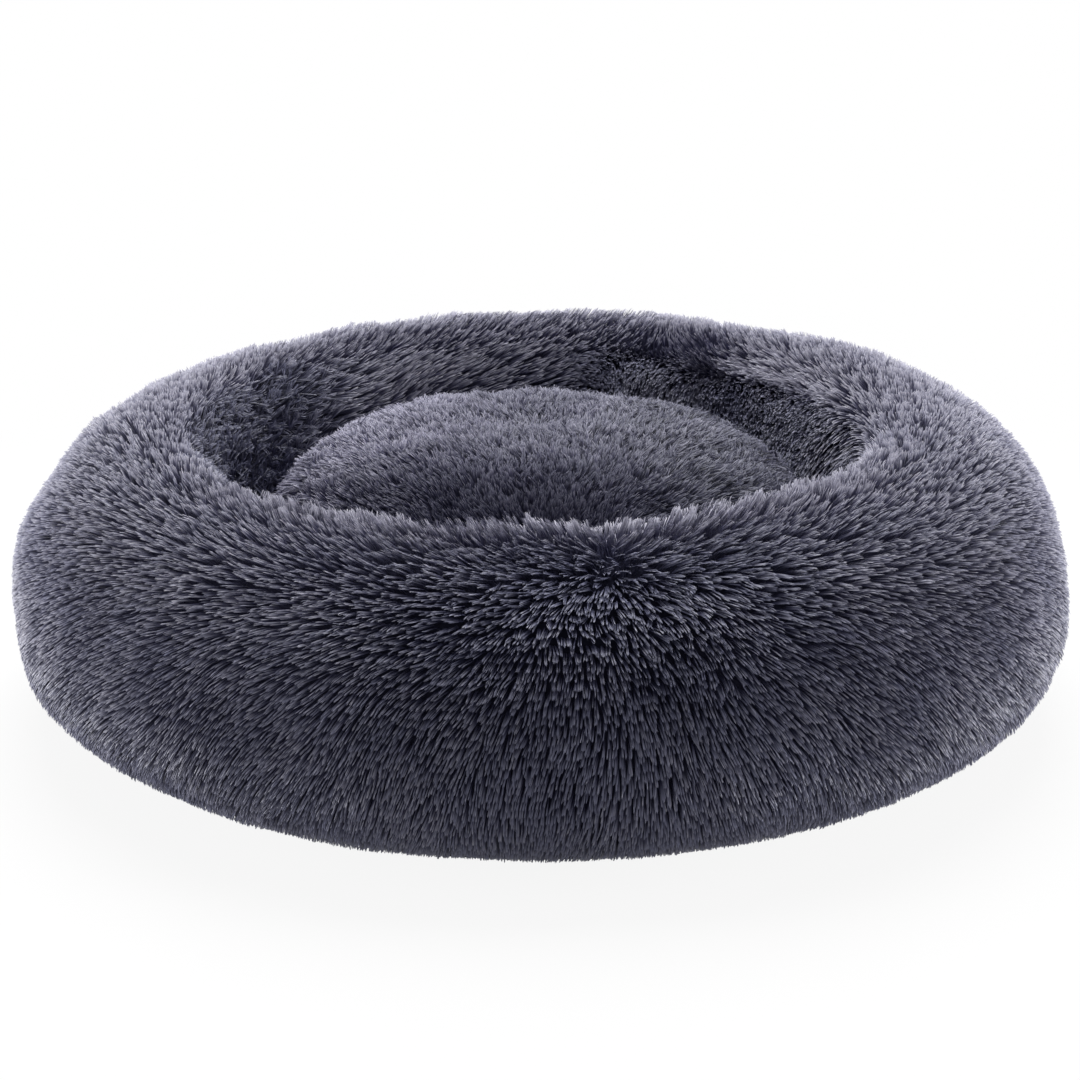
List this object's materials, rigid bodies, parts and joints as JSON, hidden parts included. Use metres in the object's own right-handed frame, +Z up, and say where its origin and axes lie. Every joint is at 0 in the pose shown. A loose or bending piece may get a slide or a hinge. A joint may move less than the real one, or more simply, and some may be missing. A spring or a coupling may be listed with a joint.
{
  "type": "plush ring dog bed",
  "caption": "Round plush dog bed: a stuffed ring with a rounded wall, a loose crowned cushion in its well, zipped covers and a flat cloth base.",
  "frame": {"origin": "centre of the bed's underside, on the floor", "axes": "+Z up; the seen front of the bed faces -Y; both zips are at the back, centred on +Y"},
  "size_m": [0.76, 0.7586, 0.208],
  "materials": {
    "ring_plush": "long-pile faux fur, dark slate grey",
    "cushion_plush": "faux fur with a shorter pile, slate grey",
    "base_cloth": "plain woven base cloth",
    "lining": "thin non-woven lining",
    "fibre_fill": "polyester fibre stuffing",
    "zip_tape": "woven zip tape with a nylon coil",
    "zip_metal": "dark nickel-plated zinc"
  },
  "bodies": {
    "ring_body": {"ring_cover": "ring_plush", "ring_liner": "lining", "ring_fill": "fibre_fill", "base_panel": "base_cloth", "well_floor": "base_cloth", "ring_zip_lower_stringer": "zip_tape", "ring_zip_upper_stringer": "zip_tape", "ring_zip_closed_stop": "zip_metal", "ring_zip_open_stop": "zip_metal"},
    "ring_slider_body": {"ring_zip_slider": "zip_metal"},
    "ring_pull_body": {"ring_zip_pull": "zip_metal"},
    "cushion_body": {"cushion_cover": "cushion_plush", "cushion_base": "base_cloth", "cushion_liner": "lining", "cushion_fill": "fibre_fill", "cushion_zip_lower_stringer": "zip_tape", "cushion_zip_upper_stringer": "zip_tape", "cushion_zip_closed_stop": "zip_metal", "cushion_zip_open_stop": "zip_metal"},
    "cushion_slider_body": {"cushion_zip_slider": "zip_metal"},
    "cushion_pull_body": {"cushion_zip_pull": "zip_metal"}
  },
  "joints": [
    {"name": "cushion_lift", "type": "slide", "parent": "ring_body", "child": "cushion_body", "axis": [0, 0, 1], "range_m": [0, 0.25]},
    {"name": "ring_zip_run", "type": "hinge", "parent": "ring_body", "child": "ring_slider_body", "pos_m": [0, 0, 0.02322], "axis": [0, 0, 1], "range_deg": [0, 140.5]},
    {"name": "ring_pull_flip", "type": "hinge", "parent": "ring_slider_body", "child": "ring_pull_body", "pos_m": [0.32513, 0.11616, 0.01939], "axis": [0.6928, 0.2475, 0.6773], "range_deg": [-85, 85]},
    {"name": "cushion_zip_run", "type": "hinge", "parent": "cushion_body", "child": "cushion_slider_body", "pos_m": [0, 0, 0.02895], "axis": [0, 0, 1], "range_deg": [0, 105.3]},
    {"name": "cushion_pull_flip", "type": "hinge", "parent": "cushion_slider_body", "child": "cushion_pull_body", "pos_m": [0.14068, 0.10711, 0.02574], "axis": [0.4915, 0.3742, 0.7864], "range_deg": [-85, 85]}
  ]
}
